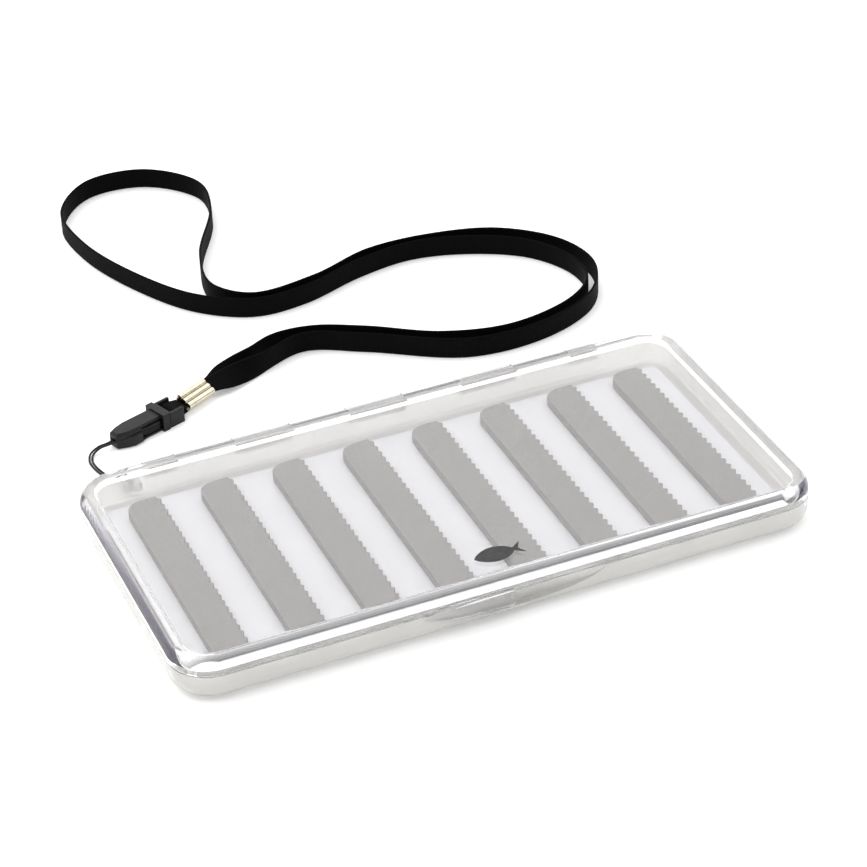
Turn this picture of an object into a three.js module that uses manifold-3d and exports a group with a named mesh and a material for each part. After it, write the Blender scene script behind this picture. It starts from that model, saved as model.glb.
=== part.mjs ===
// A slim clear fly box for dry flies, closed, with its neck lanyard laid out behind it.
// Millimetres, +Z up. X runs along the hinge, the hinge is at the back (+Y) and the
// origin is under the middle of the box, hinge barrel included.
import * as THREE from 'three';
import Module from 'manifold-3d';
import { mergeVertices } from 'three/addons/utils/BufferGeometryUtils.js';

const wasm = await Module();
wasm.setup();

// ---------------------------------------------------------------- driving dimensions
const WIDTH = 190;
const DEPTH = 98.4;
const HEIGHT = 13.8;
const PARTING = 8.4;
const PARTING_GAP = 0.3;
const CORNER_RADIUS = 12;
const WALL = 2.0;
const FLOOR = 1.4;
const LID_TOP = 1.6;
const BASE_EDGE_RADIUS = 4.5;
const BASE_INNER_RADIUS = 1.2;
const LID_EDGE_RADIUS = 4.2;
const INNER_CORNER_RADIUS = 8;
const LID_WALL = 4.6;
const LID_INNER_RADIUS = 0.3;
const LID_INNER_CORNER_RADIUS = 7;
const FIT_GAP = 0.3;
const CORNER_STEPS = 10;
const EDGE_STEPS = 6;

const RIM = { outerInset: 1.2, height: 1.2 };

const HINGE = { y: 51.7, z: 8.0, barrelRadius: 2.2, segments: 7, pitch: 17.9, endLength: 9.35 };
const PIN = { radius: 0.7, halfLength: 71, clearance: 0.1 };

const SCOOP = { halfWidth: 27.5, drop: 5.5, centreZ: 8.7, depth: 2.4, backing: 1.6, backingMargin: 5 };
const TAB = { proud: 0.4, top: 9.6, slopeStart: 1.2, slopeEnd: 4.2 };

const LINER = { sideMargin: 6.5, front: -42.7, back: 42.7, thickness: 0.75, cornerRadius: 2, glue: 0.05 };
const STRIP = {
  count: 8, pitch: 21.9, width: 10.7, front: -39.7, back: 39.7, height: 3.0,
  teeth: 26, toothDepth: 1.1, toothSlope: 0.73, endMargin: 1, cornerWidth: 6, cornerLength: 5,
};

const EYELET = { x: -76.5, y: 51.0, holeRadius: 1.1, radius: 2.7, bottom: 2.6, thickness: 2.2 };

const BUCKLE = { x: -73.2, y: 77.6, turn: 20, height: 5.2 };
// Half outlines seen from above, from the rear to the nose: how far along, how far out.
const SOCKET_BODY = [[18.2, 3.5], [9.8, 3.5], [7.8, 4.1], [5.2, 4.2], [3.0, 3.4], [1.2, 2.4], [0, 1.7]];
const SOCKET_PLATE = [[18.2, 3.2], [5.4, 3.3], [2.2, 2.7], [0.4, 1.9], [0, 1.6]];
const SOCKET = {
  length: 18.2, bodyHeight: 3.6, bodyBevel: 0.5, plateBevel: 0.7,
  collarLength: 2.4, collarHalfWidth: 4.3, collarHeight: 5.8,
};
const CHANNEL = { start: 8.0, halfWidth: 3.55, bottom: 1.0, top: 4.2 };
const WINDOW = { end: 15.6, plateHalfWidth: 2.7 };
const KNOT = { radius: 1.3, along: 4.6, pocketStart: 3.0, pocketHalfWidth: 1.7 };
const NOSE_SLOT = { halfWidth: 1.1, bottom: 2.0, top: 3.2 };
const ARM = {
  tip: 8.4, root: 15.9, shoulder: 15.2, inner: 2.0, outer: 3.15, rootInner: 1.4, rootOuter: 2.8,
  bottom: 1.35, top: 3.85, ridges: [1.5, 2.35, 3.2], ridgeHeight: 0.45, ridgeProud: 0.25,
};
const PLUG = { start: 18.5, end: 23.9, halfWidth: 4.1, frontWall: 0.7 };
const PLUG_NECK = { start: 16.2, halfWidth: 2.5, bottom: 1.3, top: 3.9 };
const PLUG_BAR = { start: 21.2, end: 22.0, slotHalfWidth: 3.1, bottom: 1.7, top: 3.5 };
const TAB_LOOP = {
  width: 5.6, thickness: 0.7, innerRadius: 1.35, centreU: 21.6, centreZ: 2.6, end: 26.1, endHalfHeight: 0.95,
};
const CRIMP = {
  start: 26.7, turn: 8, roll: 26, z: 3.2,
  length: 11.0, width: 5.8, thickness: 3.2, ridges: 3, ridgeHeight: 0.8, lowerChamfer: 0.5,
};

const CORD = { radius: 0.33, steps: 36 };
const RIBBON = { width: 7.0, thickness: 0.8, steps: 48 };

// The ribbon's route over the table, from the crimp round the loop and back to the crimp.
const RIBBON_ROUTE = [
  [-37.8, 93.3], [-23.6, 100.4], [-12, 106.2], [1, 105.4], [16, 97.6], [36, 84.0],
  [57, 78.6], [80, 84.2], [90.8, 94.0], [91.9, 107.5],
  [84, 123.2], [68, 134.2], [49, 139.6], [30, 136.9], [8, 129.4], [-9, 129.0],
  [-25, 139.8], [-38.5, 162], [-47.5, 189], [-47.6, 212], [-33.5, 228.2],
  [-14, 227.3], [0.2, 211], [-1.7, 192], [-15.2, 164], [-18.3, 144],
  [-8.5, 132.6], [13, 134.2], [35, 142.0], [58, 141.4], [78, 135.0], [93.2, 119.6],
  [96.9, 102.5], [88.6, 86.0], [68, 76.0], [42, 76.4], [14, 93.8], [-3, 102.6],
  [-20.3, 96.5], [-37.2, 92.0],
];

// The thin cord's route: out of the buckle's nose, through the eyelet and back again.
const CORD_ROUTE = [
  [-70.9, 79.05, 2.6], [-74.8, 77.65, 2.3], [-77.9, 77.65, 1.8], [-80.8, 76.5, 0.9],
  [-82.2, 73.4, 0.45], [-82.15, 69.8, 0.45], [-81.2, 65.5, 0.5], [-79.9, 61.6, 1.0],
  [-78.6, 58.2, 2.0], [-77.6, 55.8, 3.4], [-76.9, 54.2, 5.0], [-76.5, 52.55, 5.55],
  [-76.5, 51.24, 5.01], [-76.5, 50.7, 3.7], [-76.5, 51.24, 2.39], [-76.5, 52.55, 1.85],
  [-76.3, 53.8, 1.6], [-76.5, 55.8, 1.0], [-77.45, 58.6, 0.5], [-78.95, 62.0, 0.45],
  [-80.3, 65.7, 0.45], [-81.27, 69.65, 0.45], [-81.35, 73.0, 0.45], [-80.2, 75.85, 0.8],
  [-77.65, 76.75, 1.8], [-74.5, 76.75, 2.3], [-70.5, 77.93, 2.6],
];

// ---------------------------------------------------------------- materials
const plastic = (color, roughness) => new THREE.MeshStandardMaterial({ color, roughness, metalness: 0 });
const metal = (color, roughness) => new THREE.MeshStandardMaterial({ color, roughness, metalness: 1 });
const clear = plastic(0xdfe3e4, 0.08);
clear.transparent = true;
clear.opacity = 0.3;
const milky = plastic(0xefede7, 0.15);
milky.transparent = true;
milky.opacity = 0.8;
const white = plastic(0xf0f0f2, 0.6);
const greyFoam = plastic(0xb5b2ad, 0.85);
const blackPlastic = plastic(0x1c1c1e, 0.4);
const blackFabric = plastic(0x111113, 0.9);
const steel = metal(0xa8a8a6, 0.3);
const nickel = metal(0xd8d2c0, 0.2);

// ---------------------------------------------------------------- solids and booleans
function solid(geometry) {
  const bare = geometry.clone();
  bare.deleteAttribute('normal');
  bare.deleteAttribute('uv');
  const merged = mergeVertices(bare, 1e-4);
  const vertProperties = merged.attributes.position.array;
  const triVerts = new Uint32Array(merged.index.array);
  return new wasm.Manifold(new wasm.Mesh({ numProp: 3, vertProperties, triVerts }));
}

function geometryOf(manifold) {
  const mesh = manifold.getMesh();
  const geometry = new THREE.BufferGeometry();
  geometry.setAttribute('position', new THREE.BufferAttribute(new Float32Array(mesh.vertProperties), 3));
  geometry.setIndex(new THREE.BufferAttribute(new Uint32Array(mesh.triVerts), 1));
  geometry.computeVertexNormals();
  return geometry;
}

function boxBetween(low, high) {
  const size = high.map((value, axis) => value - low[axis]);
  const geometry = new THREE.BoxGeometry(...size);
  geometry.translate(...low.map((value, axis) => value + size[axis] / 2));
  return geometry;
}

function boxSolid(low, high) {
  return solid(boxBetween(low, high));
}

// A round bar along X between two places.
function barAlongX(radius, from, to, y, z, sides = 24) {
  const geometry = new THREE.CylinderGeometry(radius, radius, to - from, sides);
  geometry.rotateZ(Math.PI / 2);
  geometry.translate((from + to) / 2, y, z);
  return geometry;
}

function roundedRectangle(width, depth, radius) {
  const x = width / 2 - radius;
  const y = depth / 2 - radius;
  const shape = new THREE.Shape();
  shape.absarc(x, y, radius, 0, Math.PI / 2);
  shape.absarc(-x, y, radius, Math.PI / 2, Math.PI);
  shape.absarc(-x, -y, radius, Math.PI, 1.5 * Math.PI);
  shape.absarc(x, -y, radius, 1.5 * Math.PI, 2 * Math.PI);
  return shape;
}

// A block with rounded corners in plan and rounded edges round its top and bottom.
function roundedBlock(width, depth, bottom, top, cornerRadius, edgeRadius) {
  const geometry = new THREE.ExtrudeGeometry(roundedRectangle(width, depth, cornerRadius), {
    depth: top - bottom - 2 * edgeRadius,
    bevelThickness: edgeRadius,
    bevelSize: edgeRadius,
    bevelOffset: -edgeRadius,
    bevelSegments: EDGE_STEPS,
    curveSegments: CORNER_STEPS,
  });
  geometry.translate(0, 0, bottom + edgeRadius);
  return solid(geometry);
}

// A plan outline raised between two heights.
function raised(shape, bottom, top, options = {}) {
  const geometry = new THREE.ExtrudeGeometry(shape, {
    depth: top - bottom, bevelEnabled: false, curveSegments: 6, ...options,
  });
  geometry.translate(0, 0, bottom);
  return geometry;
}

// An outline drawn in X and Z, given a thickness from front to back.
function standing(shape, front, back) {
  const options = { depth: back - front, bevelEnabled: false, curveSegments: 12 };
  const geometry = new THREE.ExtrudeGeometry(shape, options);
  geometry.rotateX(Math.PI / 2);
  geometry.translate(0, back, 0);
  return geometry;
}

function polygon(points) {
  return new THREE.Shape(points.map(([x, y]) => new THREE.Vector2(x, y)));
}

// The outline made symmetric about its first axis.
function mirrored(halfOutline) {
  const otherHalf = halfOutline.map(([u, v]) => [u, -v]).reverse();
  return polygon([...otherHalf, ...halfOutline]);
}

function named(name, geometry, material) {
  const mesh = new THREE.Mesh(geometry, material);
  mesh.name = name;
  return mesh;
}

// ---------------------------------------------------------------- hinge
// The barrel is cut into knuckles: a short one at each end and seven long ones between.
function knuckleSpans(owner) {
  const half = (HINGE.segments * HINGE.pitch) / 2;
  const spans = [];
  for (let i = 0; i < HINGE.segments; i += 1) {
    const from = -half + i * HINGE.pitch;
    const belongsToLid = i % 2 === 0;
    if (belongsToLid === (owner === 'lid')) {
      spans.push([from + FIT_GAP / 2, from + HINGE.pitch - FIT_GAP / 2]);
    }
  }
  if (owner === 'base') {
    spans.push([-half - HINGE.endLength, -half - FIT_GAP / 2]);
    spans.push([half + FIT_GAP / 2, half + HINGE.endLength]);
  }
  return spans;
}

// The web joins a knuckle to the wall in front of it.
function addKnuckles(shell, owner) {
  const wallFace = DEPTH / 2 - WALL / 2;
  const webBottom = owner === 'lid' ? PARTING + PARTING_GAP / 2 : HINGE.z - HINGE.barrelRadius;
  const webTop = owner === 'lid' ? HINGE.z + HINGE.barrelRadius : PARTING - PARTING_GAP / 2;
  let result = shell;
  for (const [from, to] of knuckleSpans(owner)) {
    result = result.add(solid(barAlongX(HINGE.barrelRadius, from, to, HINGE.y, HINGE.z)));
    result = result.add(boxSolid([from, wallFace, webBottom], [to, HINGE.y, webTop]));
  }
  // The pin goes in from the right: the hole is blind at the left and open at the right.
  const hole = barAlongX(PIN.radius + PIN.clearance, -PIN.halfLength - FIT_GAP, WIDTH / 2, HINGE.y, HINGE.z);
  return result.subtract(solid(hole));
}

function hingePin() {
  return barAlongX(PIN.radius, -PIN.halfLength, PIN.halfLength, HINGE.y, HINGE.z);
}

// ---------------------------------------------------------------- base
// The finger scoop is a lens seen from the front, and bows inward seen from above, so
// that it runs out to nothing at both tips.
function scoopSolid(gap) {
  const front = -DEPTH / 2;
  const lens = new THREE.Shape();
  lens.absellipse(0, SCOOP.centreZ, SCOOP.halfWidth - gap, SCOOP.drop - gap, Math.PI, 2 * Math.PI);
  const plan = new THREE.Shape();
  plan.moveTo(-SCOOP.halfWidth, front - 3);
  plan.lineTo(-SCOOP.halfWidth, front - gap);
  plan.quadraticCurveTo(0, front + 2 * SCOOP.depth - gap, SCOOP.halfWidth, front - gap);
  plan.lineTo(SCOOP.halfWidth, front - 3);
  return solid(standing(lens, front - 2, front + 4)).intersect(solid(raised(plan, 0, HEIGHT)));
}

// The wall is thicker behind the scoop, and follows its bow.
function scoopBacking(top) {
  const inset = WALL / 2;
  const front = -DEPTH / 2 + inset;
  const half = SCOOP.halfWidth + SCOOP.backingMargin;
  const plan = new THREE.Shape();
  plan.moveTo(-half, front);
  plan.quadraticCurveTo(0, front + 2 * (SCOOP.depth + SCOOP.backing - inset), half, front);
  const upper = solid(raised(plan, BASE_EDGE_RADIUS / 2, top));
  const behindRim = boxSolid([-half, -DEPTH / 2 + RIM.outerInset + 0.2, top - 1], [half, 0, top + RIM.height]);
  return upper.add(solid(raised(plan, top - 1, top + RIM.height)).intersect(behindRim));
}

function eyelet() {
  const shape = new THREE.Shape();
  const root = DEPTH / 2 - WALL / 2;
  shape.moveTo(EYELET.x - EYELET.radius, root);
  shape.absarc(EYELET.x, EYELET.y, EYELET.radius, Math.PI, 0, true);
  shape.lineTo(EYELET.x + EYELET.radius, root);
  const hole = new THREE.Path();
  hole.absarc(EYELET.x, EYELET.y, EYELET.holeRadius, 0, 2 * Math.PI);
  shape.holes.push(hole);
  return solid(raised(shape, EYELET.bottom, EYELET.bottom + EYELET.thickness));
}

function baseShell() {
  const top = PARTING - PARTING_GAP / 2;
  const inset = (amount) => [WIDTH - 2 * amount, DEPTH - 2 * amount];
  const block = roundedBlock(WIDTH, DEPTH, 0, 2 * HEIGHT, CORNER_RADIUS, BASE_EDGE_RADIUS);
  const lower = block.intersect(boxSolid([-WIDTH, -DEPTH, -1], [WIDTH, DEPTH, top]));
  const rimShape = roundedRectangle(...inset(RIM.outerInset), CORNER_RADIUS - RIM.outerInset);
  const rim = solid(raised(rimShape, top - 1, top + RIM.height, { curveSegments: CORNER_STEPS }));
  const cavity = roundedBlock(...inset(WALL), FLOOR, 2 * HEIGHT, INNER_CORNER_RADIUS, BASE_INNER_RADIUS);
  let shell = lower.add(rim).subtract(cavity);

  shell = shell.add(scoopBacking(top));
  const scoop = scoopSolid(0).intersect(boxSolid([-WIDTH, -DEPTH, 0], [WIDTH, DEPTH, top]));
  shell = shell.subtract(scoop);
  return addKnuckles(shell.add(eyelet()), 'base');
}

// ---------------------------------------------------------------- lid
// The thumb tab hangs from the lid's front edge into the left half of the scoop. Above
// the parting it is only as deep as the lid's wall, because the rim stands behind it.
function thumbTab() {
  const front = -DEPTH / 2 - TAB.proud;
  const rimFace = -DEPTH / 2 + RIM.outerInset - FIT_GAP;
  const left = -SCOOP.halfWidth;
  const leftHalf = boxSolid([left, front, 0], [-FIT_GAP, 0, HEIGHT]);
  const behindWall = boxSolid([left, rimFace, PARTING - 2 * FIT_GAP], [0, 0, HEIGHT]);
  const browBottom = PARTING - FIT_GAP / 3;
  const brow = polygon([
    [left + TAB.slopeStart, browBottom], [left + TAB.slopeEnd, TAB.top],
    [-FIT_GAP, TAB.top], [-FIT_GAP, browBottom],
  ]);
  const hanging = scoopSolid(FIT_GAP).intersect(leftHalf).subtract(behindWall);
  return hanging.add(solid(standing(brow, front, -DEPTH / 2 + 0.5)));
}

function lidShell() {
  const bottom = PARTING + PARTING_GAP / 2;
  const inset = (amount) => [WIDTH - 2 * amount, DEPTH - 2 * amount];
  const block = roundedBlock(WIDTH, DEPTH, -HEIGHT, HEIGHT, CORNER_RADIUS, LID_EDGE_RADIUS);
  const upper = block.intersect(boxSolid([-WIDTH, -DEPTH, bottom], [WIDTH, DEPTH, HEIGHT + 1]));
  const innerTop = HEIGHT - LID_TOP;
  const cavity = roundedBlock(
    ...inset(LID_WALL), -HEIGHT, innerTop, LID_INNER_CORNER_RADIUS, LID_INNER_RADIUS,
  );
  const rebateInset = RIM.outerInset - FIT_GAP;
  const rebateShape = roundedRectangle(...inset(rebateInset), CORNER_RADIUS - rebateInset);
  const rebateTop = PARTING + RIM.height + FIT_GAP;
  const rebate = solid(raised(rebateShape, bottom - 1, rebateTop, { curveSegments: CORNER_STEPS }));
  const shell = upper.subtract(cavity).subtract(rebate).add(thumbTab());
  return addKnuckles(shell, 'lid');
}

// ---------------------------------------------------------------- liner and slit strips
function floorLiner() {
  const { sideMargin, front, back, thickness, cornerRadius, glue } = LINER;
  const shape = roundedRectangle(WIDTH - 2 * sideMargin, back - front, cornerRadius);
  const geometry = raised(shape, FLOOR + glue, FLOOR + glue + thickness);
  geometry.translate(0, (front + back) / 2, 0);
  return geometry;
}

// A strip lies front to back. Its left corners are rounded and its right edge is cut as
// saw teeth whose steep side faces the hinge.
function stripShape() {
  const { width, front, back, teeth, toothDepth, toothSlope, endMargin, cornerWidth, cornerLength } = STRIP;
  const toothPitch = (back - front - 2 * endMargin) / teeth;
  const shape = new THREE.Shape();
  shape.moveTo(0, front + cornerLength);
  shape.quadraticCurveTo(0, front, cornerWidth, front);
  shape.lineTo(width - toothDepth, front);
  for (let tooth = 0; tooth < teeth; tooth += 1) {
    const y = front + endMargin + tooth * toothPitch;
    shape.lineTo(width - toothDepth, y);
    shape.lineTo(width, y + toothSlope * toothPitch);
  }
  shape.lineTo(width - toothDepth, back - endMargin);
  shape.lineTo(width - toothDepth, back);
  shape.lineTo(cornerWidth, back);
  shape.quadraticCurveTo(0, back, 0, back - cornerLength);
  return shape;
}

function slitStrip(index) {
  const bottom = FLOOR + LINER.thickness + 2 * LINER.glue;
  const geometry = raised(stripShape(), bottom, bottom + STRIP.height);
  const left = (-(STRIP.count - 1) * STRIP.pitch - STRIP.width) / 2 + index * STRIP.pitch;
  geometry.translate(left, 0, 0);
  return geometry;
}

// ---------------------------------------------------------------- buckle, in its own axes
// U runs from the nose to the crimp, V to the left of it, and Z is up.
// Seen from above, the lower body bulges to its widest behind the nose, under a
// narrower top plate with sloping sides.
function bevelled(halfOutline, bottom, top, bevel) {
  return solid(raised(mirrored(halfOutline), bottom + bevel, top - bevel, {
    bevelEnabled: true, bevelThickness: bevel, bevelSize: bevel, bevelOffset: -bevel, bevelSegments: 1,
  }));
}

function socketBody() {
  const body = bevelled(SOCKET_BODY, 0, SOCKET.bodyHeight, SOCKET.bodyBevel);
  return body.add(bevelled(SOCKET_PLATE, SOCKET.bodyHeight - 1, BUCKLE.height, SOCKET.plateBevel));
}

function buckleSocket() {
  const { length, collarLength, collarHalfWidth, collarHeight } = SOCKET;
  const wide = 2 * collarHalfWidth;
  const collarStart = length - collarLength;
  const collar = boxSolid([collarStart, -collarHalfWidth, 0], [length, collarHalfWidth, collarHeight]);
  let shell = socketBody().add(collar);
  // Each cut: where it starts and ends along the buckle, its half width, its bottom and top.
  const cuts = [
    [CHANNEL.start, length + 1, CHANNEL.halfWidth, CHANNEL.bottom, CHANNEL.top],
    [KNOT.pocketStart, CHANNEL.start + 1, KNOT.pocketHalfWidth, CHANNEL.bottom, CHANNEL.top],
    [-1, KNOT.along, NOSE_SLOT.halfWidth, NOSE_SLOT.bottom, NOSE_SLOT.top],
  ];
  for (const [from, to, halfWidth, bottom, top] of cuts) {
    shell = shell.subtract(boxSolid([from, -halfWidth, bottom], [to, halfWidth, top]));
  }
  // The windows beside the plate, in which the arms lie open to the side and to the top.
  for (const [from, to] of [[-wide, -WINDOW.plateHalfWidth], [WINDOW.plateHalfWidth, wide]]) {
    const top = 2 * BUCKLE.height;
    shell = shell.subtract(boxSolid([CHANNEL.start, from, CHANNEL.bottom], [WINDOW.end, to, top]));
  }
  return shell;
}

// The stopper knot that keeps the thin cord from pulling out of the nose.
function cordKnot() {
  const geometry = new THREE.SphereGeometry(KNOT.radius, 10, 8);
  geometry.scale(0.9, 1, 1);
  geometry.translate(KNOT.along, 0, BUCKLE.height / 2);
  return geometry;
}

// A squeeze arm: a prong that widens from its root, with ridges along its outer face.
function squeezeArm(side) {
  const { tip, root, shoulder, inner, outer, rootInner, rootOuter, ridgeHeight, ridgeProud } = ARM;
  const prong = (proud) => {
    const half = [
      [root, rootInner], [root, rootOuter], [shoulder, rootOuter], [shoulder - 0.3, outer + proud],
      [tip + 1.8, outer + proud], [tip, outer - 0.7], [tip, inner + 0.2], [shoulder - 0.3, inner],
    ];
    const turned = half.map(([u, v]) => [u, side * v]);
    return polygon(side > 0 ? turned : turned.reverse());
  };
  let arm = solid(raised(prong(0), ARM.bottom, ARM.top));
  for (const bottom of ARM.ridges) {
    arm = arm.add(solid(raised(prong(ridgeProud), bottom, bottom + ridgeHeight)));
  }
  return arm;
}

// The rear block: a short wall and two cheeks, with a bar between them for the ribbon.
function bucklePlug() {
  const { start, end, halfWidth, frontWall } = PLUG;
  const inside = PLUG_BAR.slotHalfWidth;
  const block = boxSolid([start, -halfWidth, 0], [end, halfWidth, BUCKLE.height]);
  const slot = boxSolid([start + frontWall, -inside, -1], [end + 1, inside, BUCKLE.height + 1]);
  const neckEnd = start + frontWall / 2;
  const neck = boxSolid(
    [PLUG_NECK.start, -PLUG_NECK.halfWidth, PLUG_NECK.bottom], [neckEnd, PLUG_NECK.halfWidth, PLUG_NECK.top],
  );
  const bar = boxSolid(
    [PLUG_BAR.start, -inside - 0.5, PLUG_BAR.bottom], [PLUG_BAR.end, inside + 0.5, PLUG_BAR.top],
  );
  return block.subtract(slot).add(neck).add(bar);
}

// The short ribbon that wraps the plug's bar and runs into the crimp: an open loop seen
// from the side, given the ribbon's width.
function ribbonTab() {
  const { width, thickness, innerRadius, centreU, centreZ, end, endHalfHeight } = TAB_LOOP;
  const outerRadius = innerRadius + thickness;
  const shape = new THREE.Shape();
  shape.moveTo(end, centreZ + endHalfHeight);
  shape.lineTo(centreU, centreZ + outerRadius);
  shape.absarc(centreU, centreZ, outerRadius, Math.PI / 2, 1.5 * Math.PI);
  shape.lineTo(end, centreZ - endHalfHeight);
  shape.lineTo(end, centreZ - endHalfHeight + thickness);
  shape.lineTo(centreU, centreZ - innerRadius);
  shape.absarc(centreU, centreZ, innerRadius, 1.5 * Math.PI, Math.PI / 2, true);
  shape.lineTo(end, centreZ + endHalfHeight - thickness);
  return standing(shape, -width / 2, width / 2);
}

// The folded metal crimp: flat below, with three rounded ridges along its top.
function crimpGeometry() {
  const { width, thickness, ridges, ridgeHeight, lowerChamfer, length } = CRIMP;
  const half = width / 2;
  const rise = thickness / 2;
  const ridgeWidth = width / ridges;
  const shape = new THREE.Shape();
  shape.moveTo(-half + lowerChamfer, -rise);
  shape.lineTo(half - lowerChamfer, -rise);
  shape.lineTo(half, -rise + lowerChamfer);
  for (let ridge = 0; ridge < ridges; ridge += 1) {
    const centre = half - (ridge + 0.5) * ridgeWidth;
    shape.absellipse(centre, rise - ridgeHeight, ridgeWidth / 2, ridgeHeight, 0, Math.PI);
  }
  shape.lineTo(-half, -rise + lowerChamfer);
  const options = { depth: length, bevelEnabled: false, curveSegments: 8 };
  const geometry = new THREE.ExtrudeGeometry(shape, options);
  geometry.rotateX(Math.PI / 2);
  geometry.rotateZ(Math.PI / 2);
  return geometry;
}

// ---------------------------------------------------------------- cord and ribbon
function sweep(section, points, steps) {
  const path = new THREE.CatmullRomCurve3(points.map((point) => new THREE.Vector3(...point)));
  const options = { steps, extrudePath: path, bevelEnabled: false, curveSegments: 4 };
  return new THREE.ExtrudeGeometry(section, options);
}

function lanyardCord() {
  const section = new THREE.Shape();
  section.absarc(0, 0, CORD.radius, 0, 2 * Math.PI);
  return sweep(section, CORD_ROUTE, CORD.steps);
}

// The ribbon stands on its edge, so its section is tall and thin.
function neckRibbon() {
  const tall = RIBBON.width / 2;
  const thin = RIBBON.thickness / 2;
  const section = polygon([
    [tall - 0.2, thin], [-tall + 0.2, thin], [-tall, thin - 0.2], [-tall, -thin + 0.2],
    [-tall + 0.2, -thin], [tall - 0.2, -thin], [tall, -thin + 0.2], [tall, thin - 0.2],
  ]);
  const points = RIBBON_ROUTE.map(([x, y]) => [x, y, RIBBON.width / 2 + 0.02]);
  return sweep(section, points, RIBBON.steps);
}

// ---------------------------------------------------------------- assembly
const flyBox = new THREE.Group();
flyBox.add(named('base_shell', geometryOf(baseShell()), milky));
flyBox.add(named('lid_shell', geometryOf(lidShell()), clear));
flyBox.add(named('hinge_pin', hingePin(), steel));
flyBox.add(named('floor_liner', floorLiner(), white));
for (let index = 0; index < STRIP.count; index += 1) {
  flyBox.add(named(`slit_strip_${index + 1}`, slitStrip(index), greyFoam));
}

const buckle = new THREE.Group();
buckle.position.set(BUCKLE.x, BUCKLE.y, 0);
buckle.rotation.z = THREE.MathUtils.degToRad(BUCKLE.turn);
buckle.add(named('buckle_socket', geometryOf(buckleSocket()), blackPlastic));
buckle.add(named('cord_knot', cordKnot(), blackFabric));
buckle.add(named('buckle_plug', geometryOf(bucklePlug()), blackPlastic));
buckle.add(named('squeeze_arm_left', geometryOf(squeezeArm(1)), blackPlastic));
buckle.add(named('squeeze_arm_right', geometryOf(squeezeArm(-1)), blackPlastic));
buckle.add(named('ribbon_tab', ribbonTab(), blackFabric));

const crimp = named('crimp', crimpGeometry(), nickel);
crimp.position.set(CRIMP.start, 0, CRIMP.z);
crimp.rotation.set(THREE.MathUtils.degToRad(CRIMP.roll), 0, THREE.MathUtils.degToRad(CRIMP.turn), 'ZYX');
buckle.add(crimp);

const lanyard = new THREE.Group();
lanyard.add(buckle);
lanyard.add(named('lanyard_cord', lanyardCord(), blackFabric));
lanyard.add(named('neck_ribbon', neckRibbon(), blackFabric));

// Everything is drawn about the middle of the tray and then moved, so that the origin is
// under the middle of the box with its barrel and thumb tab.
const assembly = new THREE.Group();
assembly.add(flyBox, lanyard);
assembly.position.y = (DEPTH / 2 + TAB.proud - HINGE.y - HINGE.barrelRadius) / 2;

const model = new THREE.Group();
model.add(assembly);
export default model;
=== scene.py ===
"""A slim clear fly box for dry flies, closed, with its neck lanyard laid out behind it.

Metres, +Z up. X runs along the hinge, and the hinge is at the back (+Y).
"""

import math

import bmesh
import bpy
from mathutils import Matrix, Vector


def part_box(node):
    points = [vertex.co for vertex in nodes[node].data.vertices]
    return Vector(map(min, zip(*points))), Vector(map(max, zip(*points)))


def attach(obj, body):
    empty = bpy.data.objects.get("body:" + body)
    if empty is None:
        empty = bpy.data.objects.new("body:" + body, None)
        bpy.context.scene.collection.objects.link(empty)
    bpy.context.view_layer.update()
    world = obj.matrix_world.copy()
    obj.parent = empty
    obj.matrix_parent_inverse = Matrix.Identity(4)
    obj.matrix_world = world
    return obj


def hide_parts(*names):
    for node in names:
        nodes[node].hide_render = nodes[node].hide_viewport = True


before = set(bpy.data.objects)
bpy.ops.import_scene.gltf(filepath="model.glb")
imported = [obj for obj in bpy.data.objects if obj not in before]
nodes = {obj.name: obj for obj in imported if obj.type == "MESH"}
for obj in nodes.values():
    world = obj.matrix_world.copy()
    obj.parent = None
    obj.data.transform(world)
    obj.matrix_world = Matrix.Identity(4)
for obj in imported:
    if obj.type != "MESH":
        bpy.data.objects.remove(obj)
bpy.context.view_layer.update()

# ---------------------------------------------------------------- driving dimensions
MM = 0.001
UP = Vector((0, 0, 1))
# The y of the tray's middle in the frame, in millimetres.
ASSEMBLY_SHIFT_Y = -2.15

AZIMUTH = math.radians(21.85)
ELEVATION = math.radians(33.69)
CAMERA_ROLL = math.radians(-2.58)
CAMERA_DISTANCE = 0.84833
CAMERA_TARGET = Vector((0.01498, 0.04014, 0.0))
LENS = 118.46
SENSOR_WIDTH = 36
CLIP_START = 0.01

# Lengths from here to the print are in millimetres.
RIBBON_WIDTH = 7.0
RIBBON_THICKNESS = 0.8
RIBBON_CENTRE_Z = RIBBON_WIDTH / 2 + 0.02
RIBBON_STEP = 1.5
RIBBON_EDGE_RADIUS = 0.32
# How much the ribs count against the yarn in the ribbon's weave.
RIB_DEPTH = 0.5
CRIMP_ROLL = math.radians(26)
CRIMP_Z = 3.2
CRIMP_MOUTH_WIDTH = 5.4
MOUTH_LENGTH = 8
# The ribbon's ends reach this far into the crimp beyond the route's ends.
CRIMP_REACH = 1.2
# How far from the crimp the two strands start and end their turn onto their edges.
TWIST_START = 3
TWIST_END = 24
# The middle of each strand is this far above or below the middle of the crimp's mouth.
STRAND_OFFSET = 0.45

CORD_RADIUS = 0.33
CORD_STEP = 0.35
CORD_SIDES = 12
CURVE_STEPS = 24

# Moulded edges that are sharper than SHARP_EDGE are softened by these radii.
EDGE_ROUNDING = 0.18
FOAM_ROUNDING = 0.25
ARM_ROUNDING = 0.1
SHARP_EDGE = math.radians(32)
# Faces this close to one plane are made one face first, and points this close one point.
FLAT_WITHIN = math.radians(0.5)
SAME_POINT = 1e-7
# An edge below this angle is shaded smooth.
SMOOTH_BELOW = math.radians(35)

PRINT_LENGTH = 14.5
PRINT_HEIGHT = 6.0
PRINT_Y = -40.6
PRINT_THICKNESS = 0.02
PRINT_STEPS = 14
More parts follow.
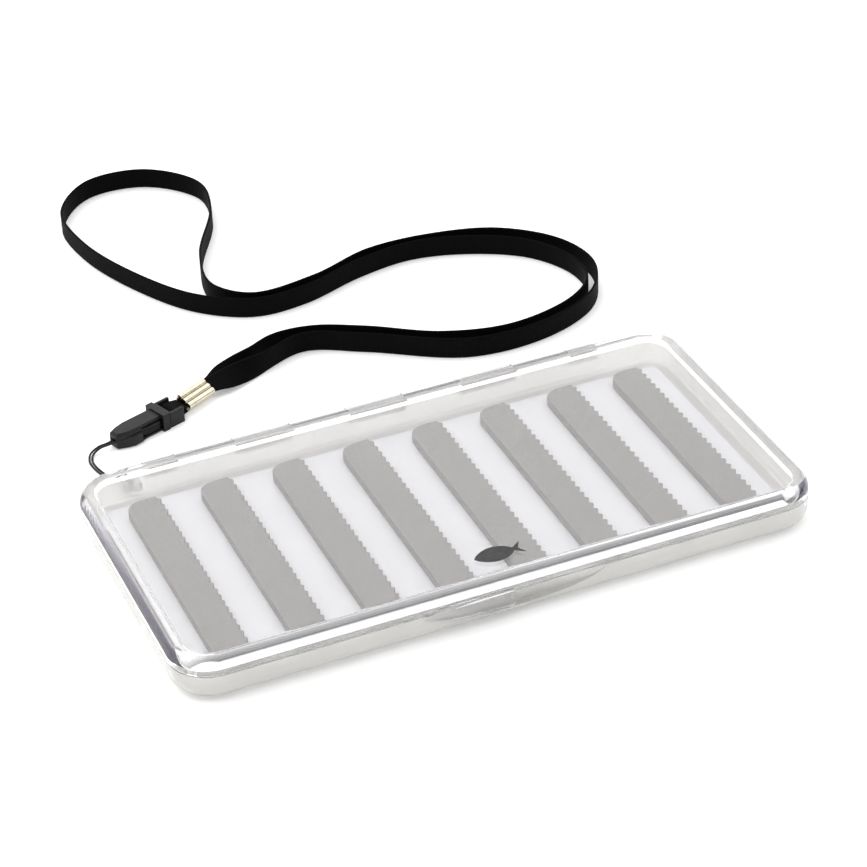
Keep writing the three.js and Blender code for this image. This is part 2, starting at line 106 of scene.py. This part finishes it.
# The fish's proportions: shares of its length or height, and how full its sides are.
BODY_SHARE = 0.8
BODY_FULLNESS = 0.7
TAIL_ROOT_HEIGHT = 0.12
TAIL_TIP_HEIGHT = 0.45

# The box stands on a softly lit white table. Most light comes from above and behind.
FLOOR_HALF_SIZE = 4
FLOOR_GLOW = 0.2
SKY_TOWARDS = (0, 0.6, 0.8)
SKY_DIM = 0.3
SKY_BRIGHT = 1.75
# Each softbox: its name, position, width, height and power in watts.
SOFTBOXES = [
    ("key", (-0.5, 0.5, 1.1), 1.6, 1.2, 8),
    ("fill", (0.8, -0.3, 0.9), 1.2, 1.2, 3),
]
SOFTBOX_TARGET = Vector((0, 0.05, 0))

# The share of light that the milky plastic lets through.
MILKY_CLEARNESS = 0.65
# How strongly the clear plastic swallows light, per metre.
PLASTIC_TINT = 20
# Light crosses many plastic walls, and bounces inside them, before it reaches the table.
LIGHT_BOUNCES = 96

# The ribbon's route over the table, in millimetres, from the crimp and back to it.
RIBBON_ROUTE = [
    (-37.8, 93.3), (-23.6, 100.4), (-12, 106.2), (1, 105.4), (16, 97.6), (36, 84.0),
    (57, 78.6), (80, 84.2), (90.8, 94.0), (91.9, 107.5),
    (84, 123.2), (68, 134.2), (49, 139.6), (30, 136.9), (8, 129.4), (-9, 129.0),
    (-25, 139.8), (-38.5, 162), (-47.5, 189), (-47.6, 212), (-33.5, 228.2),
    (-14, 227.3), (0.2, 211), (-1.7, 192), (-15.2, 164), (-18.3, 144),
    (-8.5, 132.6), (13, 134.2), (35, 142.0), (58, 141.4), (78, 135.0), (93.2, 119.6),
    (96.9, 102.5), (88.6, 86.0), (68, 76.0), (42, 76.4), (14, 93.8), (-3, 102.6),
    (-20.3, 96.5), (-37.2, 92.0),
]

# The thin cord's route: out of the buckle's nose, through the eyelet and back again.
CORD_ROUTE = [
    (-70.9, 79.05, 2.6), (-74.8, 77.65, 2.3), (-77.9, 77.65, 1.8), (-80.8, 76.5, 0.9),
    (-82.2, 73.4, 0.45), (-82.15, 69.8, 0.45), (-81.2, 65.5, 0.5), (-79.9, 61.6, 1.0),
    (-78.6, 58.2, 2.0), (-77.6, 55.8, 3.4), (-76.9, 54.2, 5.0), (-76.5, 52.55, 5.55),
    (-76.5, 51.24, 5.01), (-76.5, 50.7, 3.7), (-76.5, 51.24, 2.39), (-76.5, 52.55, 1.85),
    (-76.3, 53.8, 1.6), (-76.5, 55.8, 1.0), (-77.45, 58.6, 0.5), (-78.95, 62.0, 0.45),
    (-80.3, 65.7, 0.45), (-81.27, 69.65, 0.45), (-81.35, 73.0, 0.45), (-80.2, 75.85, 0.8),
    (-77.65, 76.75, 1.8), (-74.5, 76.75, 2.3), (-70.5, 77.93, 2.6),
]


# ---------------------------------------------------------------- camera
def aim(thing, position, target, roll=0.0):
    """Puts a camera or a light at a position and turns it to the target."""
    look = (target - position).to_track_quat("-Z", "Y").to_matrix().to_4x4()
    thing.matrix_world = Matrix.Translation(position) @ look @ Matrix.Rotation(roll, 4, "Z")


def add_camera():
    data = bpy.data.cameras.new("camera")
    data.lens = LENS
    data.sensor_width = SENSOR_WIDTH
    data.clip_start = CLIP_START
    camera = bpy.data.objects.new("camera", data)
    bpy.context.scene.collection.objects.link(camera)
    towards = Vector((
        math.sin(AZIMUTH) * math.cos(ELEVATION),
        math.cos(AZIMUTH) * math.cos(ELEVATION),
        -math.sin(ELEVATION),
    ))
    aim(camera, CAMERA_TARGET - towards * CAMERA_DISTANCE, CAMERA_TARGET, CAMERA_ROLL)
    bpy.context.scene.camera = camera


# ---------------------------------------------------------------- mesh helpers
def piece_from(name, bm, body, material):
    """Turns a bmesh into a piece that rides on a body, smooth except at its sharp edges."""
    mesh = bpy.data.meshes.new(name)
    bm.normal_update()
    for face in bm.faces:
        face.smooth = True
    for edge in bm.edges:
        edge.smooth = len(edge.link_faces) != 2 or edge.calc_face_angle(0) < SMOOTH_BELOW
    bm.to_mesh(mesh)
    bm.free()
    piece = bpy.data.objects.new(name, mesh)
    bpy.context.scene.collection.objects.link(piece)
    mesh.materials.append(material)
    even = piece.modifiers.new("flat faces stay flat", "WEIGHTED_NORMAL")
    even.keep_sharp = True
    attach(piece, body)
    return piece


def smooth_step(value):
    """Rises from 0 to 1 as the value does, level at both ends."""
    value = min(max(value, 0.0), 1.0)
    return value * value * (3 - 2 * value)


def smooth_route(points, step):
    """Points every step along the centripetal Catmull-Rom curve through the given ones."""
    first = points[0] * 2 - points[1]
    last = points[-1] * 2 - points[-2]
    padded = [first, *points, last]
    fine = []
    for a, b, c, d in zip(padded, padded[1:], padded[2:], padded[3:]):
        t1 = (b - a).length ** 0.5
        t2 = t1 + (c - b).length ** 0.5
        t3 = t2 + (d - c).length ** 0.5
        for i in range(CURVE_STEPS):
            t = t1 + (t2 - t1) * i / CURVE_STEPS
            ab = a.lerp(b, t / t1)
            bc = b.lerp(c, (t - t1) / (t2 - t1))
            cd = c.lerp(d, (t - t2) / (t3 - t2))
            abc = ab.lerp(bc, t / t2)
            bcd = bc.lerp(cd, (t - t1) / (t3 - t1))
            fine.append(abc.lerp(bcd, (t - t1) / (t2 - t1)))
    fine.append(points[-1])
    return evenly_spaced(fine, step)


def evenly_spaced(points, step):
    """The same route with its points about a step apart."""
    lengths = [(b - a).length for a, b in zip(points, points[1:])]
    count = max(2, round(sum(lengths) / step))
    spacing = sum(lengths) / count
    result = [points[0]]
    travelled = 0.0
    for a, b, length in zip(points, points[1:], lengths):
        while len(result) < count and travelled + length >= spacing * len(result):
            share = (spacing * len(result) - travelled) / length
            result.append(a.lerp(b, share))
        travelled += length
    result.append(points[-1])
    return result


def route_length(points):
    return sum((b - a).length for a, b in zip(points, points[1:]))


def tangents(points):
    ahead = [*points[1:], points[-1]]
    behind = [points[0], *points[:-1]]
    return [(a - b).normalized() for a, b in zip(ahead, behind)]


def loft(rings, along):
    """A tube through rings of points, capped, with UVs: U runs along it, V runs round it."""
    bm = bmesh.new()
    uv = bm.loops.layers.uv.new("UVMap")
    made = [[bm.verts.new(point) for point in ring] for ring in rings]
    sides = len(rings[0])
    for i in range(len(made) - 1):
        for k in range(sides):
            n = (k + 1) % sides
            face = bm.faces.new((made[i][k], made[i][n], made[i + 1][n], made[i + 1][k]))
            corners = ((i, k), (i, k + 1), (i + 1, k + 1), (i + 1, k))
            for loop, (ring, side) in zip(face.loops, corners):
                loop[uv].uv = (along[ring], side / sides)
    bm.faces.new(reversed(made[0]))
    bm.faces.new(made[-1])
    bmesh.ops.recalc_face_normals(bm, faces=bm.faces)
    return bm


# ---------------------------------------------------------------- materials
def new_material(name, **inputs):
    """A Principled material with its constant values set on the shader's own sockets."""
    material = bpy.data.materials.new(name)
    material.use_nodes = True
    shader = material.node_tree.nodes["Principled BSDF"]
    for socket, value in inputs.items():
        shader.inputs[socket.replace("_", " ")].default_value = value
    return material, material.node_tree, shader


def add_node(tree, kind, **settings):
    """Adds a node. Each setting is one of its properties or else one of its inputs."""
    node = tree.nodes.new(kind)
    for key, value in settings.items():
        if hasattr(node, key):
            setattr(node, key, value)
        else:
            node.inputs[key.replace("_", " ")].default_value = value
    return node


def noise(tree, scale, detail=3.0, roughness=0.55):
    """Noise that moves with the piece. The scale is about the repeats per metre."""
    place = tree.nodes.new("ShaderNodeTexCoord")
    texture = add_node(tree, "ShaderNodeTexNoise", Scale=scale, Detail=detail, Roughness=roughness)
    tree.links.new(place.outputs["Object"], texture.inputs["Vector"])
    return texture.outputs["Fac"]


def value_range(tree, value, low, high):
    """Spreads a value from 0 to 1 over the range from low to high."""
    node = tree.nodes.new("ShaderNodeMapRange")
    node.inputs["To Min"].default_value = low
    node.inputs["To Max"].default_value = high
    tree.links.new(value, node.inputs["Value"])
    return node.outputs["Result"]


def colour_by(tree, shader, value, dark, light, low=0.3, high=0.7):
    """The base colour is dark where the value is low and light where it is high."""
    ramp = tree.nodes.new("ShaderNodeValToRGB")
    ramp.color_ramp.elements[0].position = low
    ramp.color_ramp.elements[0].color = (*dark, 1)
    ramp.color_ramp.elements[1].position = high
    ramp.color_ramp.elements[1].color = (*light, 1)
    tree.links.new(value, ramp.inputs["Fac"])
    tree.links.new(ramp.outputs["Color"], shader.inputs["Base Color"])


def roughness_by(tree, shader, value, low, high):
    """The roughness goes from low to high with the value."""
    tree.links.new(value_range(tree, value, low, high), shader.inputs["Roughness"])


def bump(tree, shader, height, distance, strength=1.0):
    """Fine relief in the shading. The distance is its height in metres."""
    node = add_node(tree, "ShaderNodeBump", Strength=strength, Distance=distance)
    tree.links.new(height, node.inputs["Height"])
    tree.links.new(node.outputs["Normal"], shader.inputs["Normal"])


def clear_plastic():
    """Polished clear plastic with faint flow waves and fine handling marks."""
    material, tree, shader = new_material(
        "clear_plastic", Base_Color=(0.987, 0.985, 0.991, 1), Transmission_Weight=1.0, IOR=1.52,
    )
    roughness_by(tree, shader, noise(tree, scale=70, detail=6), low=0.0, high=0.05)
    bump(tree, shader, noise(tree, scale=38, detail=2), distance=0.00003, strength=0.08)
    # The plastic itself swallows a little light, so thick edges look greyer than the top.
    tint = add_node(tree, "ShaderNodeVolumeAbsorption", Color=(0.3, 0.27, 0.36, 1), Density=PLASTIC_TINT)
    tree.links.new(tint.outputs["Volume"], tree.nodes["Material Output"].inputs["Volume"])
    return material


def milky_plastic():
    """Milky styrene, polished: it lets blurred light through, and has faint clouds in it."""
    material, tree, shader = new_material(
        "milky_plastic", Transmission_Weight=MILKY_CLEARNESS, IOR=1.5,
        Coat_Weight=0.6, Coat_Roughness=0.04,
    )
    clouds = noise(tree, scale=25, detail=4)
    colour_by(tree, shader, clouds, dark=(0.92, 0.91, 0.88), light=(0.95, 0.942, 0.915))
    roughness_by(tree, shader, noise(tree, scale=70, detail=6), low=0.28, high=0.4)
    bump(tree, shader, noise(tree, scale=38, detail=2), distance=0.00003, strength=0.25)
    return material


def liner_sheet():
    """A thin white sheet with a fine tooth and very slight unevenness of tone."""
    material, tree, shader = new_material("white_liner", Roughness=0.7)
    tone = noise(tree, scale=60, detail=4)
    colour_by(tree, shader, tone, dark=(0.93, 0.935, 0.95), light=(0.97, 0.97, 0.98))
    bump(tree, shader, noise(tree, scale=2600, detail=2), distance=0.00003, strength=0.5)
    return material


def closed_cell_foam():
    """Warm grey foam: fine cells over a coarser mottle."""
    material, tree, shader = new_material("grey_foam", Specular_IOR_Level=0.25)
    place = tree.nodes.new("ShaderNodeTexCoord")
    cells = add_node(tree, "ShaderNodeTexVoronoi", Scale=2600)
    tree.links.new(place.outputs["Object"], cells.inputs["Vector"])
    grain = add_node(tree, "ShaderNodeMath", operation="ADD")
    tree.links.new(cells.outputs["Distance"], grain.inputs[0])
    tree.links.new(noise(tree, scale=900, detail=4, roughness=0.7), grain.inputs[1])
    colour_by(
        tree, shader, grain.outputs["Value"],
        dark=(0.17, 0.161, 0.156), light=(0.40, 0.382, 0.366), low=0.35, high=1.0,
    )
    roughness_by(tree, shader, noise(tree, scale=400), low=0.8, high=0.98)
    bump(tree, shader, grain.outputs["Value"], distance=0.00018)
    return material


def black_moulding():
    """Satin black acetal with a light spark-eroded texture."""
    material, tree, shader = new_material("black_plastic", Specular_IOR_Level=0.22)
    tone = noise(tree, scale=300)
    colour_by(tree, shader, tone, dark=(0.006, 0.006, 0.007), light=(0.013, 0.013, 0.014))
    roughness_by(tree, shader, noise(tree, scale=900, detail=4), low=0.34, high=0.52)
    bump(tree, shader, noise(tree, scale=5200, detail=2), distance=0.00002, strength=0.6)
    return material


def printed_ink():
    """Black pad-printed ink, a little uneven."""
    material, tree, shader = new_material("print_ink", Specular_IOR_Level=0.3)
    tone = noise(tree, scale=900, detail=5)
    colour_by(tree, shader, tone, dark=(0.008, 0.008, 0.009), light=(0.03, 0.03, 0.032))
    roughness_by(tree, shader, noise(tree, scale=1500), low=0.3, high=0.5)
    return material


def wave_along(tree, repeats_per_metre, repeats_round=0.0):
    """Ribs across a length, or slanting round it. U is in metres along it, V is once round."""
    place = add_node(tree, "ShaderNodeUVMap", uv_map="UVMap")
    split = tree.nodes.new("ShaderNodeSeparateXYZ")
    tree.links.new(place.outputs["UV"], split.inputs["Vector"])
    along = add_node(tree, "ShaderNodeMath", operation="MULTIPLY")
    along.inputs[1].default_value = 2 * math.pi * repeats_per_metre
    tree.links.new(split.outputs["X"], along.inputs[0])
    total = add_node(tree, "ShaderNodeMath", operation="MULTIPLY_ADD")
    total.inputs[1].default_value = 2 * math.pi * repeats_round
    tree.links.new(split.outputs["Y"], total.inputs[0])
    tree.links.new(along.outputs["Value"], total.inputs[2])
    wave = add_node(tree, "ShaderNodeMath", operation="SINE")
    tree.links.new(total.outputs["Value"], wave.inputs[0])
    return wave.outputs["Value"]


def ribbed_ribbon():
    """Black grosgrain: ribs across the ribbon, broken up by the yarn, with a faint sheen."""
    material, tree, shader = new_material(
        "black_ribbon", Sheen_Weight=0.01, Sheen_Roughness=0.4, Specular_IOR_Level=0.04,
    )
    ribs = wave_along(tree, repeats_per_metre=1600)
    yarn = noise(tree, scale=2400)
    weave = add_node(tree, "ShaderNodeMath", operation="MULTIPLY_ADD")
    weave.inputs[1].default_value = RIB_DEPTH
    tree.links.new(ribs, weave.inputs[0])
    tree.links.new(yarn, weave.inputs[2])
    colour_by(
        tree, shader, weave.outputs["Value"],
        dark=(0.0006, 0.0006, 0.0008), light=(0.004, 0.004, 0.005), low=0.1, high=1.0,
    )
    roughness_by(tree, shader, yarn, low=0.55, high=0.8)
    bump(tree, shader, weave.outputs["Value"], distance=0.00006, strength=0.8)
    return material


def braided_cord():
    """Fine black braid: a diagonal lay round the cord."""
    material, tree, shader = new_material("black_cord", Specular_IOR_Level=0.35)
    braid = wave_along(tree, repeats_per_metre=1300, repeats_round=3)
    colour_by(
        tree, shader, braid,
        dark=(0.004, 0.004, 0.005), light=(0.022, 0.022, 0.025), low=0.0, high=1.0,
    )
    roughness_by(tree, shader, noise(tree, scale=3000), low=0.45, high=0.7)
    bump(tree, shader, braid, distance=0.00006, strength=0.8)
    return material


def plain_metal(name, dark, light, smoothest, roughest):
    """Plated or drawn metal, a little uneven, with fine marks."""
    material, tree, shader = new_material(name, Metallic=1.0)
    colour_by(tree, shader, noise(tree, scale=500, detail=4), dark, light)
    roughness_by(tree, shader, noise(tree, scale=1400, detail=5), smoothest, roughest)
    bump(tree, shader, noise(tree, scale=1800), distance=0.00001, strength=0.5)
    return material


MATERIALS = {
    "clear_plastic": clear_plastic(),
    "milky_plastic": milky_plastic(),
    "white_liner": liner_sheet(),
    "grey_foam": closed_cell_foam(),
    "black_plastic": black_moulding(),
    "print_ink": printed_ink(),
    "black_ribbon": ribbed_ribbon(),
    "black_cord": braided_cord(),
    "nickel_plate": plain_metal(
        "nickel_plate", dark=(0.58, 0.53, 0.41), light=(0.72, 0.67, 0.55),
        smoothest=0.12, roughest=0.26,
    ),
    "pin_steel": plain_metal(
        "pin_steel", dark=(0.42, 0.42, 0.43), light=(0.55, 0.55, 0.55),
        smoothest=0.25, roughest=0.4,
    ),
}


# ---------------------------------------------------------------- cord and ribbon
def on_table(point):
    """Takes a point in millimetres from the tray's middle to metres in the frame."""
    x, y, z = point
    return Vector((x, y + ASSEMBLY_SHIFT_Y, z)) * MM


def add_lanyard_cord():
    """The thin cord: a round tube along its route."""
    points = smooth_route([on_table(p) for p in CORD_ROUTE], CORD_STEP * MM)
    turn = [2 * math.pi * k / CORD_SIDES for k in range(CORD_SIDES)]
    radius = CORD_RADIUS * MM
    rings = []
    along = []
    travelled = 0.0
    side = UP
    previous = points[0]
    for point, tangent in zip(points, tangents(points)):
        side = (side - tangent * side.dot(tangent)).normalized()
        other = tangent.cross(side)
        rings.append([point + (side * math.cos(a) + other * math.sin(a)) * radius for a in turn])
        travelled += (point - previous).length
        previous = point
        along.append(travelled)
    cord = piece_from("thin_cord", loft(rings, along), "case", MATERIALS["black_cord"])
    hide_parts("lanyard_cord")


def ribbon_section(width):
    """The ribbon's outline across its length, as (across, through) pairs with soft edges."""
    w = width / 2
    t = RIBBON_THICKNESS / 2
    soft = RIBBON_EDGE_RADIUS
    columns = [-w + soft, -w / 2, 0, w / 2, w - soft]
    upper = [(a, t) for a in reversed(columns)]
    lower = [(a, -t) for a in columns]
    return [*upper, (-w, t - soft), (-w, -t + soft), *lower, (w, -t + soft), (w, t - soft)]


def add_neck_ribbon():
    """Two flat strands, one on the other, leave the crimp and turn onto their edges."""
    flat = [on_table((x, y, RIBBON_CENTRE_Z)) for x, y in RIBBON_ROUTE]
    points = smooth_route(flat, RIBBON_STEP * MM)
    points[0] += (points[0] - points[1]).normalized() * CRIMP_REACH * MM
    points[-1] += (points[-1] - points[-2]).normalized() * CRIMP_REACH * MM
    total = route_length(points)
    mouth = (points[0] + points[-1]) / 2
    mouth.z = CRIMP_Z * MM
    rings = []
    along = []
    travelled = 0.0
    previous = points[0]
    for point, tangent in zip(points, tangents(points)):
        travelled += (point - previous).length
        previous = point
        returning = travelled > total / 2
        from_crimp = (total - travelled if returning else travelled) / MM
        upright = smooth_step((from_crimp - TWIST_START) / (TWIST_END - TWIST_START))
        angle = -CRIMP_ROLL - (math.pi / 2 - CRIMP_ROLL) * upright
        heading = -tangent if returning else tangent
        front = heading.cross(UP).normalized()
        across = front * math.cos(angle) + UP * math.sin(angle)
        stacked = 1 - smooth_step(from_crimp / MOUTH_LENGTH)
        above = front * math.sin(CRIMP_ROLL) + UP * math.cos(CRIMP_ROLL)
        lift = (STRAND_OFFSET if returning else -STRAND_OFFSET) * MM
        end = points[-1] if returning else points[0]
        centre = point + ((mouth - end) + above * lift) * stacked
        width = CRIMP_MOUTH_WIDTH + (RIBBON_WIDTH - CRIMP_MOUTH_WIDTH) * (1 - stacked)
        through = across.cross(tangent).normalized()
        outline = ribbon_section(width)
        rings.append([centre + (across * a + through * b) * MM for a, b in outline])
        along.append(travelled)
    ribbon = piece_from("ribbon_loop", loft(rings, along), "plug", MATERIALS["black_ribbon"])
    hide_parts("neck_ribbon")


# ---------------------------------------------------------------- pieces from the CAD
def add_rounded(node, body, slot, rounding=EDGE_ROUNDING):
    """The CAD node's own shape with its sharp edges softened, as moulded parts have."""
    bm = bmesh.new()
    bm.from_mesh(nodes[node].data)
    bmesh.ops.remove_doubles(bm, verts=bm.verts, dist=SAME_POINT)
    bmesh.ops.dissolve_limit(bm, angle_limit=FLAT_WITHIN, verts=bm.verts, edges=bm.edges)
    sharp = [
        edge for edge in bm.edges
        if len(edge.link_faces) == 2 and edge.calc_face_angle(0) > SHARP_EDGE
    ]
    bmesh.ops.bevel(
        bm, geom=sharp, offset=rounding * MM, segments=2, profile=0.5, affect="EDGES",
        clamp_overlap=True, loop_slide=True,
    )
    piece = piece_from(f"{node}_moulded", bm, body, MATERIALS[slot])
    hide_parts(node)
    return piece


def dress_node(node, slot):
    """A CAD node that stays: it only gets its material."""
    mesh = nodes[node].data
    mesh.materials.clear()
    mesh.materials.append(MATERIALS[slot])


def add_lid_print():
    """A plain fish outline printed on the lid above the thumb tab: a generic mark."""
    nose = -PRINT_LENGTH / 2
    half = []
    for k in range(PRINT_STEPS + 1):
        share = k / PRINT_STEPS
        half_height = PRINT_HEIGHT / 2 * math.sin(math.pi * share) ** BODY_FULLNESS
        taper = TAIL_ROOT_HEIGHT * PRINT_HEIGHT * share
        half.append((nose + BODY_SHARE * PRINT_LENGTH * share, half_height + taper))
    half.append((PRINT_LENGTH / 2, TAIL_TIP_HEIGHT * PRINT_HEIGHT))
    tail_notch = (BODY_SHARE / 2 * PRINT_LENGTH, 0)
    outline = [*half, tail_notch, *((x, -y) for x, y in reversed(half[1:]))]
    bm = bmesh.new()
    lid_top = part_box("lid_shell")[1][2]
    centre = Vector((0, PRINT_Y * MM, lid_top + PRINT_THICKNESS * MM))
    top = [bm.verts.new(centre + Vector((x, y, 0)) * MM) for x, y in outline]
    bottom = [bm.verts.new(vert.co - UP * PRINT_THICKNESS * MM) for vert in top]
    bm.faces.new(top)
    bm.faces.new(reversed(bottom))
    for i in range(len(top)):
        n = (i + 1) % len(top)
        bm.faces.new((top[i], bottom[i], bottom[n], top[n]))
    bmesh.ops.recalc_face_normals(bm, faces=bm.faces)
    piece_from("lid_print", bm, "lid", MATERIALS["print_ink"])


# ---------------------------------------------------------------- stage and light
def add_floor():
    bm = bmesh.new()
    bmesh.ops.create_grid(bm, x_segments=1, y_segments=1, size=FLOOR_HALF_SIZE)
    mesh = bpy.data.meshes.new("floor")
    bm.to_mesh(mesh)
    bm.free()
    floor = bpy.data.objects.new("floor", mesh)
    bpy.context.scene.collection.objects.link(floor)
    material, _, _ = new_material(
        "floor", Base_Color=(0.9, 0.9, 0.9, 1), Roughness=0.9,
        Emission_Color=(1, 1, 1, 1), Emission_Strength=FLOOR_GLOW,
    )
    mesh.materials.append(material)


def add_softbox(name, position, width, height, watts):
    data = bpy.data.lights.new(name, "AREA")
    data.shape = "RECTANGLE"
    data.size = width
    data.size_y = height
    data.energy = watts
    light = bpy.data.objects.new(name, data)
    bpy.context.scene.collection.objects.link(light)
    aim(light, Vector(position), SOFTBOX_TARGET)


def add_light():
    """A white sky, brightest above and behind, and the softboxes."""
    world = bpy.data.worlds.new("studio")
    world.use_nodes = True
    tree = world.node_tree
    place = tree.nodes.new("ShaderNodeTexCoord")
    facing = add_node(tree, "ShaderNodeVectorMath", operation="DOT_PRODUCT")
    facing.inputs[1].default_value = SKY_TOWARDS
    tree.links.new(place.outputs["Generated"], facing.inputs[0])
    strength = value_range(tree, facing.outputs["Value"], SKY_DIM, SKY_BRIGHT)
    tree.links.new(strength, tree.nodes["Background"].inputs["Strength"])
    tree.nodes["Background"].inputs["Color"].default_value = (1, 1, 1, 1)
    bpy.context.scene.world = world
    for softbox in SOFTBOXES:
        add_softbox(*softbox)


# ---------------------------------------------------------------- build
add_camera()
add_lanyard_cord()
add_neck_ribbon()

add_rounded("base_shell", "case", "milky_plastic")
add_rounded("lid_shell", "lid", "clear_plastic")
dress_node("hinge_pin", "pin_steel")
dress_node("floor_liner", "white_liner")
for strip in sorted(name for name in nodes if name.startswith("slit_strip_")):
    foam = add_rounded(strip, "case", "grey_foam", FOAM_ROUNDING)
add_rounded("buckle_socket", "case", "black_plastic")
add_rounded("buckle_plug", "plug", "black_plastic")
add_rounded("squeeze_arm_left", "arm_left", "black_plastic", ARM_ROUNDING)
add_rounded("squeeze_arm_right", "arm_right", "black_plastic", ARM_ROUNDING)
dress_node("cord_knot", "black_cord")
dress_node("ribbon_tab", "black_ribbon")
dress_node("crimp", "nickel_plate")
add_lid_print()

add_floor()
add_light()
bpy.context.scene.view_settings.view_transform = "Standard"
bpy.context.scene.cycles.max_bounces = LIGHT_BOUNCES
bpy.context.scene.cycles.glossy_bounces = LIGHT_BOUNCES
bpy.context.scene.cycles.transmission_bounces = LIGHT_BOUNCES
